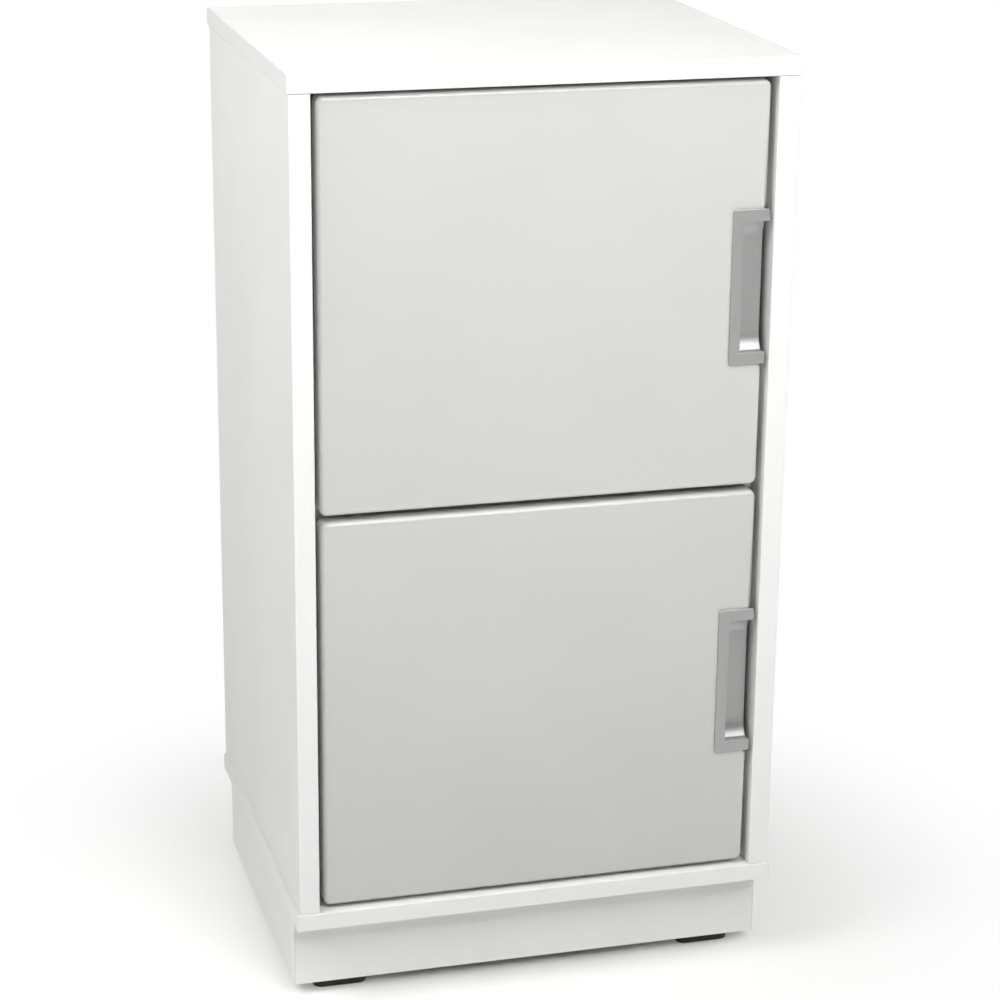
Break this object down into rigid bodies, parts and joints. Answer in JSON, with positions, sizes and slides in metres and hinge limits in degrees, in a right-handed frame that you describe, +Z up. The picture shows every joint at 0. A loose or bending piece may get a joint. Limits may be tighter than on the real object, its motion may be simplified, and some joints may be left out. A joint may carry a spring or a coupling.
{
  "type": "bedside cabinet",
  "caption": "Free-standing bedside cabinet of white board on a set-back plinth, with grey inset doors on concealed hinges, edge pulls and black foot pads.",
  "frame": {"origin": "on the floor under the middle of the cabinet's bounding box", "axes": "+Z up, +X to the right along the front, +Y from the front to the back"},
  "size_m": [0.436, 0.372, 0.827],
  "materials": {
    "white_board": "white melamine, satin",
    "back_board": "white lacquered hardboard, matt",
    "door_foil": "light grey foil, satin",
    "pull_metal": "satin silver",
    "hinge_steel": "nickel plated",
    "black_plastic": "matt black",
    "buffer_plastic": "translucent white",
    "raw_wood": "raw spruce"
  },
  "bodies": {
    "carcass": {"top_panel": "white_board", "bottom_panel": "white_board", "side_panel_left": "white_board", "side_panel_right": "white_board", "middle_panel": "white_board", "back_panel": "back_board", "plinth_front": "white_board", "plinth_back": "white_board", "plinth_left": "white_board", "plinth_right": "white_board", "corner_block_front_left": "raw_wood", "corner_block_front_right": "raw_wood", "corner_block_back_left": "raw_wood", "corner_block_back_right": "raw_wood", "foot_front_left": "black_plastic", "foot_front_right": "black_plastic", "foot_back_left": "black_plastic", "foot_back_right": "black_plastic", "hinge_arm_upper_bottom": "hinge_steel", "hinge_arm_upper_top": "hinge_steel", "hinge_arm_lower_bottom": "hinge_steel", "hinge_arm_lower_top": "hinge_steel", "hinge_plate_upper_bottom": "hinge_steel", "hinge_plate_upper_top": "hinge_steel", "hinge_plate_lower_bottom": "hinge_steel", "hinge_plate_lower_top": "hinge_steel", "buffer_upper": "buffer_plastic", "buffer_lower": "buffer_plastic"},
    "upper_door": {"door_upper": "door_foil", "pull_upper": "pull_metal", "hinge_cup_upper_bottom": "hinge_steel", "hinge_cup_upper_top": "hinge_steel", "hinge_pin_upper_bottom": "hinge_steel", "hinge_pin_upper_top": "hinge_steel"},
    "lower_door": {"door_lower": "door_foil", "pull_lower": "pull_metal", "hinge_cup_lower_bottom": "hinge_steel", "hinge_cup_lower_top": "hinge_steel", "hinge_pin_lower_bottom": "hinge_steel", "hinge_pin_lower_top": "hinge_steel"}
  },
  "joints": [
    {"name": "upper_door_hinge", "type": "hinge", "parent": "carcass", "child": "upper_door", "pos_m": [-0.182, -0.171, 0.6315], "axis": [0, 0, -1], "range_deg": [0, 100]},
    {"name": "lower_door_hinge", "type": "hinge", "parent": "carcass", "child": "lower_door", "pos_m": [-0.182, -0.171, 0.2735], "axis": [0, 0, -1], "range_deg": [0, 100]}
  ]
}
